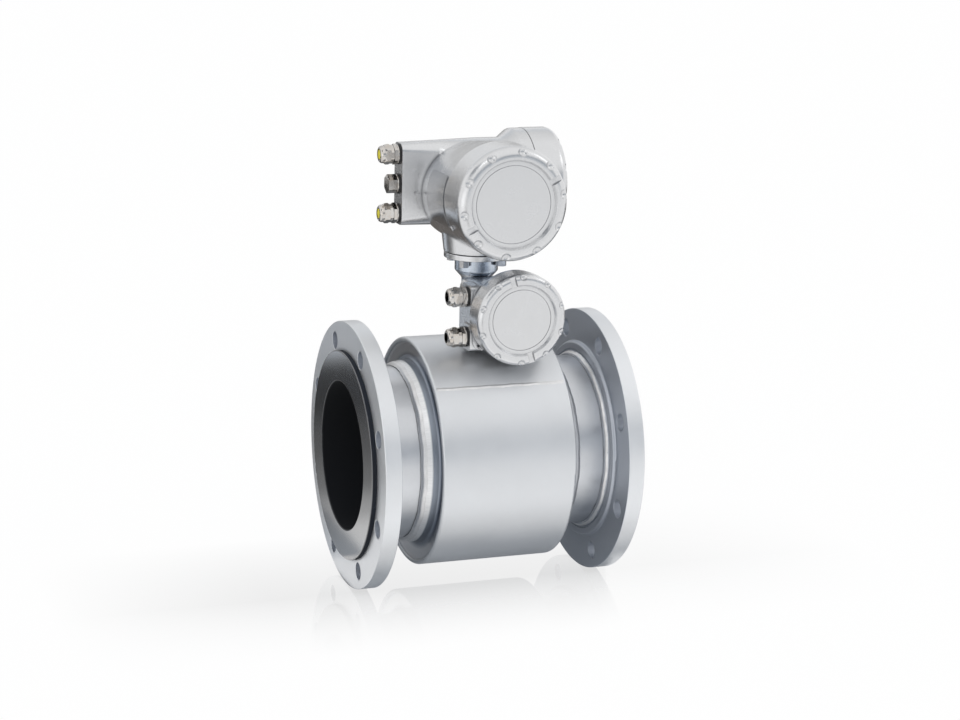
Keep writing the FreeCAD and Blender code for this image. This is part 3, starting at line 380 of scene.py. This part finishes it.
def winding(name):
    """Varnished copper wire, laid along the coil's turns."""
    m = Maker(name)
    wires = m.node("ShaderNodeTexWave", wave_type="BANDS", bands_direction="Z")
    wires.inputs["Scale"].default_value = 320.0
    wires.inputs["Distortion"].default_value = 1.5
    m.link(m.place, wires.inputs["Vector"])
    clouds = m.noise(60.0)
    tone = m.mix(m.spread(clouds), (0.50, 0.20, 0.09), (0.62, 0.29, 0.14))
    tone = m.mix(m.ramp(wires.outputs["Fac"], 0.0, 0.4, 0.6, 0.0), tone, (0.12, 0.05, 0.03))
    m.bump(wires.outputs["Fac"], 0.5, 0.0005)
    return m.finish(tone, m.spread(clouds, 0.3, 0.42), metallic=0.85)


def board(name):
    """Green circuit board with pale tracks and pads."""
    m = Maker(name)
    cells = m.node("ShaderNodeTexBrick")
    cells.inputs["Scale"].default_value = 160.0
    cells.inputs["Mortar Size"].default_value = 0.06
    pads = m.node("ShaderNodeTexVoronoi")
    pads.inputs["Scale"].default_value = 260.0
    for pattern in (cells, pads):
        m.link(m.place, pattern.inputs["Vector"])
    tone = m.mix(cells.outputs["Fac"], (0.012, 0.10, 0.045), (0.03, 0.19, 0.09))
    tone = m.mix(m.ramp(pads.outputs["Distance"], 0.10, 0.14, 1.0, 0.0), tone, (0.62, 0.60, 0.55))
    m.bump(pads.outputs["Distance"], 0.15, 0.0003)
    return m.finish(tone, m.spread(m.noise(90.0), 0.28, 0.4))


CAST = (0.70, 0.705, 0.715)
finishes = {
    "flange_steel": flange_steel("flange_steel", (0.76, 0.775, 0.795), 0.40),
    "housing_steel": steel("housing_steel", (0.70, 0.715, 0.735), 0.40, blotch=18.0, blotch_depth=0.03,
                           grain=1800.0, grain_depth=0.10, brushed=(1400.0, 14.0, 14.0), metallic=0.82),
    "tube_steel": steel("tube_steel", (0.66, 0.675, 0.70), 0.33, blotch=40.0, blotch_depth=0.05,
                        grain=1500.0, grain_depth=0.12, brushed=(900.0, 20.0, 20.0)),
    "cast_steel": steel("cast_steel", CAST, 0.25, blotch=38.0, blotch_depth=0.03,
                        grain=1300.0, grain_depth=0.20),
    "plate_steel": steel("plate_steel", (0.54, 0.545, 0.555), 0.22, blotch=60.0, blotch_depth=0.04,
                         grain=1500.0, grain_depth=0.06, brushed=(40.0, 40.0, 1600.0)),
    "electrode_steel": steel("electrode_steel", (0.74, 0.74, 0.74), 0.14, blotch=60.0, blotch_depth=0.02,
                             grain=2000.0, grain_depth=0.04),
    "screw_steel": steel("screw_steel", (0.56, 0.56, 0.57), 0.09, blotch=90.0, blotch_depth=0.06,
                         grain=1600.0, grain_depth=0.06),
    "nickel_brass": nickel("nickel_brass", (0.64, 0.625, 0.605), 0.07),
    "iron": steel("iron", (0.27, 0.27, 0.28), 0.45, blotch=60.0, blotch_depth=0.15,
                  grain=1200.0, grain_depth=0.25),
    "copper_winding": winding("copper_winding"),
    "liner_rubber": lining("liner_rubber", (0.009, 0.0115, 0.017)),
    "black_rubber": rubber("black_rubber", (0.008, 0.008, 0.009), 0.42),
    "yellow_plastic": plastic("yellow_plastic", (0.85, 0.74, 0.03), 0.38),
    "grey_plastic": plastic("grey_plastic", (0.30, 0.31, 0.33), 0.45),
    "terminal_plastic": plastic("terminal_plastic", (0.10, 0.30, 0.13), 0.40),
    "circuit_board": board("circuit_board"),
    "cable_sheath": rubber("cable_sheath", (0.03, 0.03, 0.034), 0.45, grain=900.0),
}
own_finishes = {
    "inlet_end_plate": end_plate_steel("end_plate_steel", 0.32),
    "junction_body": column_steel("column_steel", CAST, 0.25),
}
own_finishes["outlet_end_plate"] = own_finishes["inlet_end_plate"]

for part in frame["record"]["subparts"]:
    mesh = nodes[part["node"]].data
    mesh.materials.clear()
    mesh.materials.append(own_finishes.get(part["node"], finishes[part["material_slot"]]))


# Weld beads, which the solids leave out

WELD = weld_steel("weld", (0.80, 0.80, 0.805), 0.36)
BEAD_SIDES = 9
BEAD_SINK = 0.12            # share of its height by which a bead's edges lie under the surface
RING_STEPS = 900
SEAM_STEPS = 300


def bead(name, centres, outward, across, width, height, body="meter"):
    """Rippled bead along a line of points that runs out level with the surface on both sides."""
    mesh = bmesh.new()
    rows = []
    for index, (point, out, side) in enumerate(zip(centres, outward, across)):
        swell = 1.0 + 0.08 * math.sin(index * 1.9) + 0.05 * math.sin(index * 0.37 + 1.3)
        drift = 0.05 * width * math.sin(index * 0.11 + 0.6)
        row = []
        for k in range(BEAD_SIDES):
            share = 2.0 * k / (BEAD_SIDES - 1) - 1.0
            offset = side * (share * width / 2 * swell + drift)
            crown = math.cos(share * math.pi / 2) ** 2
            row.append(mesh.verts.new(point + offset + out * height * (crown * swell - BEAD_SINK)))
        rows.append(row)
    closed = (centres[0] - centres[-1]).length < 3 * (centres[1] - centres[0]).length
    following = rows[1:] + rows[:1] if closed else rows[1:]
    for first, second in zip(rows, following):
        for k in range(BEAD_SIDES - 1):
            mesh.faces.new((first[k], first[k + 1], second[k + 1], second[k]))
    bmesh.ops.recalc_face_normals(mesh, faces=mesh.faces)
    data = bpy.data.meshes.new(name)
    mesh.to_mesh(data)
    mesh.free()
    for face in data.polygons:
        face.use_smooth = True
    data.materials.append(WELD)
    piece = bpy.data.objects.new(name, data)
    bpy.context.scene.collection.objects.link(piece)
    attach(piece, body)


def ring_bead(name, x, lean, width, height):
    """Bead round the flow axis; lean is the angle of its crown from radial towards +X."""
    centres, outward, across = [], [], []
    for index in range(RING_STEPS):
        angle = 2 * math.pi * index / RING_STEPS
        radial = Vector((0, math.cos(angle), math.sin(angle)))
        centres.append(Vector((x, 0, 0)) + radial * WELD_R)
        outward.append(radial * math.cos(lean) + ALONG_FLOW * math.sin(lean))
        across.append(ALONG_FLOW * math.cos(lean) - radial * math.sin(lean))
    bead(name, centres, outward, across, width, height)


seam_angle = math.radians(46.0)
seam_out = Vector((0, -math.cos(seam_angle), math.sin(seam_angle)))
seam_side = Vector((0, math.sin(seam_angle), math.cos(seam_angle)))
seam = [seam_out * HOUSING_R + ALONG_FLOW * (-SEAM_HALF + 2 * SEAM_HALF * i / SEAM_STEPS)
        for i in range(SEAM_STEPS + 1)]
bead("barrel_seam", seam, [seam_out] * len(seam), [seam_side] * len(seam), 0.0050, 0.0005)
for side, word in ((-1, "inlet"), (1, "outlet")):
    ring_bead(word + "_collar_weld", side * COLLAR_WELD_X, side * 0.52, 0.0085, 0.0010)
    ring_bead(word + "_flange_weld", side * FLANGE_WELD_X, -side * 0.75, 0.0060, 0.0008)


# Stage: floor, studio light and camera

def stage_mesh(name, corners, material):
    data = bpy.data.meshes.new(name)
    data.from_pydata(corners, [], [(0, 1, 2, 3)])
    data.materials.append(material)
    made = bpy.data.objects.new(name, data)
    bpy.context.scene.collection.objects.link(made)
    return made


def level(low, high, z):
    """Corners of a level rectangle between two of them."""
    return [(low[0], low[1], z), (high[0], low[1], z), (high[0], high[1], z), (low[0], high[1], z)]


def floor_material():
    """Pale polished floor. Its shine lies round the object and fades to every side."""
    m = Maker("floor")
    matt = m.node("ShaderNodeBsdfDiffuse")
    m.link(m.mix(m.noise(3.0), FLOOR_TINT, shaded(FLOOR_TINT, 1.01)), matt.inputs["Color"])
    rays = m.node("ShaderNodeLightPath")
    seen = m.math("MAXIMUM", rays.outputs["Is Camera Ray"], rays.outputs["Is Glossy Ray"])
    seen = m.math("MAXIMUM", seen, rays.outputs["Is Transmission Ray"])
    white = m.node("ShaderNodeEmission")
    dull = m.either(m.math("MULTIPLY", seen, FLOOR_WHITE_SHARE), matt.outputs[0], white.outputs[0])
    shine = m.node("ShaderNodeBsdfGlossy")
    shine.inputs["Roughness"].default_value = SHINE_ROUGHNESS
    x, y, _ = m.axes()
    front = m.math("POWER", m.ramp(y, SHINE_END, SHINE_START), SHINE_FALL)
    near = m.math("MULTIPLY", front, m.ramp(y, SHINE_BACK, SHINE_START))
    near = m.math("MULTIPLY", near, m.ramp(m.math("ABSOLUTE", x), SHINE_SIDE, SHINE_SIDE / 2))
    return m.show(m.either(m.math("MULTIPLY", near, FLOOR_SHINE), dull, shine.outputs[0]))


def card_material(name, axis, stops):
    """Studio card that shows only from the side that faces the object, graded along an axis."""
    m = Maker(name)
    low, high = stops[0][0], stops[-1][0]
    ramp = m.node("ShaderNodeValToRGB")
    ramp.color_ramp.interpolation = "EASE"
    while len(ramp.color_ramp.elements) < len(stops):
        ramp.color_ramp.elements.new(0.5)
    for element, (place, color) in zip(ramp.color_ramp.elements, stops):
        element.position = (place - low) / (high - low)
        element.color = (*color, 1.0)
    m.link(m.ramp(m.axes()[axis], low, high), ramp.inputs[0])
    glow = m.node("ShaderNodeEmission")
    m.link(ramp.outputs[0], glow.inputs["Color"])
    clear = m.node("ShaderNodeBsdfTransparent")
    side = m.node("ShaderNodeNewGeometry")
    return m.show(m.either(side.outputs["Backfacing"], glow.outputs[0], clear.outputs[0]))


def reflected(made):
    """Keeps a card out of the picture, so that it shows only in what it lights by reflection."""
    made.visible_camera = False
    made.visible_diffuse = False
    made.visible_shadow = False


def card(name, centre, width, height, axis, stops):
    """Flat card at centre that faces the object and shows only in its reflections."""
    centre = Vector(centre)
    normal = (CENTRE - centre).normalized()
    right = Vector((0, 0, 1)).cross(normal).normalized()
    top = normal.cross(right)
    corners = [centre + right * (a * width / 2) + top * (b * height / 2)
               for a, b in ((-1, -1), (1, -1), (1, 1), (-1, 1))]
    reflected(stage_mesh(name, corners, card_material(name, axis, stops)))


def floor_card(name, low, high, height, axis, stops):
    """Card that lies just over the floor between two corners, and shows only in reflections."""
    reflected(stage_mesh(name, level(low, high, FLOOR_Z + height), card_material(name, axis, stops)))


def grey(value, tint=(1.0, 1.0, 1.0)):
    return tuple(value * c for c in tint)


stage_mesh("floor", level((-FLOOR_REACH, -FLOOR_REACH), (FLOOR_REACH, FLOOR_REACH), FLOOR_Z),
           floor_material())

X_AXIS, Y_AXIS, Z_AXIS = 0, 1, 2
COOL = (0.93, 1.0, 1.09)
WARM = (1.10, 1.0, 0.93)
card("front_band", (0.9, -3.2, 0.95), 5.0, 1.9, Z_AXIS,
     [(0.0, grey(0.92)), (0.45, grey(0.60, COOL)), (0.8, grey(0.44, COOL)), (1.3, grey(0.47, COOL)),
      (1.9, grey(0.88))])
card("upper_back", (0.0, 1.8, 2.6), 4.5, 2.6, Y_AXIS,
     [(0.6, grey(0.95)), (1.4, grey(0.90)), (1.9, grey(0.84)), (3.0, grey(0.66, COOL))])
card("back_wall", (-1.0, 3.2, 0.6), 6.0, 1.7, Z_AXIS,
     [(-0.25, grey(0.20)), (0.4, grey(0.40)), (0.9, grey(0.48)), (1.45, grey(0.82))])
card("left_shade", (-2.0, -1.0, 2.4), 1.8, 1.1, Z_AXIS,
     [(1.9, grey(0.42, COOL)), (2.4, grey(0.22, COOL)), (2.9, grey(0.45, COOL))])
card("left_glow", (-2.2, -1.6, 0.35), 1.7, 0.9, Z_AXIS, [(-0.1, grey(1.5)), (0.8, grey(1.3))])
floor_card("back_floor_left", (-1.05, 0.10), (-0.24, 3.1), LAYERS[0], Y_AXIS,
           [(0.10, grey(1.20)), (0.20, grey(1.02)), (0.30, grey(0.60)), (0.43, grey(0.26)),
            (0.64, grey(0.15)), (0.90, grey(0.06)), (3.1, grey(0.05))])
floor_card("column_glow", (-1.5, 1.12), (-0.42, 1.7), LAYERS[1], Y_AXIS,
           [(1.12, grey(0.20)), (1.28, grey(0.95, COOL)), (1.55, grey(0.95, COOL)), (1.7, grey(0.20))])
floor_card("left_back_floor", (-2.6, 0.35), (-1.05, 3.1), LAYERS[0], Y_AXIS,
           [(0.35, grey(0.60)), (0.7, grey(0.16)), (3.1, grey(0.14))])
floor_card("back_floor_right", (-0.24, 0.10), (2.5, 3.1), LAYERS[0], Y_AXIS,
           [(0.10, grey(0.45, COOL)), (0.30, grey(0.24, COOL)), (0.8, grey(0.14, WARM)),
            (1.6, grey(0.12, WARM)), (3.1, grey(0.20))])
floor_card("under_shade", (-0.172, -0.10), (0.172, 0.45), LAYERS[3], Y_AXIS,
           [(-0.10, grey(0.30, COOL)), (0.0, grey(0.20, COOL)), (0.45, grey(0.14, COOL))])
floor_card("front_shade", (-0.30, -0.42), (0.60, -0.10), LAYERS[2], Y_AXIS,
           [(-0.42, grey(1.10)), (-0.26, grey(1.10)), (-0.17, grey(0.78)), (-0.10, grey(0.30, COOL))])
floor_card("front_strip", (-1.1, -2.4), (-0.2, -1.2), LAYERS[0], X_AXIS,
           [(-1.1, grey(1.0)), (-0.75, grey(0.42)), (-0.45, grey(0.42)), (-0.2, grey(0.95))])


def sun(name, direction, strength, angle):
    """Wide sun that leaves no glint."""
    data = bpy.data.lights.new(name, "SUN")
    data.energy = strength
    data.angle = math.radians(angle)
    made = bpy.data.objects.new(name, data)
    made.rotation_mode = "QUATERNION"
    made.rotation_quaternion = Vector(direction).to_track_quat("-Z", "Y")
    made.visible_glossy = False
    bpy.context.scene.collection.objects.link(made)


def softbox(name, place, size, power):
    """Area light that points at the object."""
    data = bpy.data.lights.new(name, "AREA")
    data.shape = "RECTANGLE"
    data.size, data.size_y = size
    data.energy = power
    made = bpy.data.objects.new(name, data)
    made.location = place
    made.rotation_mode = "QUATERNION"
    made.rotation_quaternion = (CENTRE - Vector(place)).to_track_quat("-Z", "Y")
    bpy.context.scene.collection.objects.link(made)


sun("key", (0.45, 0.65, -1.0), 0.95, 40.0)
sun("fill", (-0.8, 0.35, -0.9), 0.45, 60.0)
softbox("softbox_left", (-1.3, -2.0, 2.9), (0.5, 0.5), 2.0)
softbox("softbox_right", (2.4, -1.0, 2.1), (0.7, 0.9), 2.2)


def studio_world():
    """Surroundings that are white to the camera and in reflections, and light the rest softly."""
    world = bpy.data.worlds.new("studio")
    world.use_nodes = True
    tree = world.node_tree
    tree.nodes.clear()
    out = tree.nodes.new("ShaderNodeOutputWorld")
    white = tree.nodes.new("ShaderNodeBackground")
    white.inputs["Color"].default_value = (1.0, 1.0, 1.0, 1.0)
    ambient = tree.nodes.new("ShaderNodeBackground")
    ambient.inputs["Color"].default_value = (0.97, 0.985, 1.0, 1.0)
    ambient.inputs["Strength"].default_value = 0.60
    rays = tree.nodes.new("ShaderNodeLightPath")
    seen = tree.nodes.new("ShaderNodeMath")
    seen_or_clear = tree.nodes.new("ShaderNodeMath")
    seen.operation = seen_or_clear.operation = "MAXIMUM"
    mix = tree.nodes.new("ShaderNodeMixShader")
    for source, target in ((rays.outputs["Is Camera Ray"], seen.inputs[0]),
                           (rays.outputs["Is Glossy Ray"], seen.inputs[1]),
                           (seen.outputs[0], seen_or_clear.inputs[0]),
                           (rays.outputs["Is Transmission Ray"], seen_or_clear.inputs[1]),
                           (seen_or_clear.outputs[0], mix.inputs[0]),
                           (ambient.outputs[0], mix.inputs[1]),
                           (white.outputs[0], mix.inputs[2]),
                           (mix.outputs[0], out.inputs["Surface"])):
        tree.links.new(source, target)
    return world


bpy.context.scene.world = studio_world()

azimuth, elevation, roll = math.radians(-19.69), math.radians(13.64), math.radians(1.31)
back = Vector((math.sin(azimuth) * math.cos(elevation), -math.cos(azimuth) * math.cos(elevation),
               math.sin(elevation)))
camera_data = bpy.data.cameras.new("camera")
camera_data.sensor_width = 36.0
camera_data.lens = 86.66
camera_data.clip_end = 100.0
camera = bpy.data.objects.new("camera", camera_data)
bpy.context.scene.collection.objects.link(camera)
camera.location = (-0.95966, -2.70367, 0.80989)
camera.rotation_mode = "QUATERNION"
upright = (-back).to_track_quat("-Z", "Y").to_matrix()
camera.rotation_quaternion = (upright @ Matrix.Rotation(roll, 3, "Z")).to_quaternion()
bpy.context.scene.camera = camera
bpy.context.scene.view_settings.view_transform = "Standard"
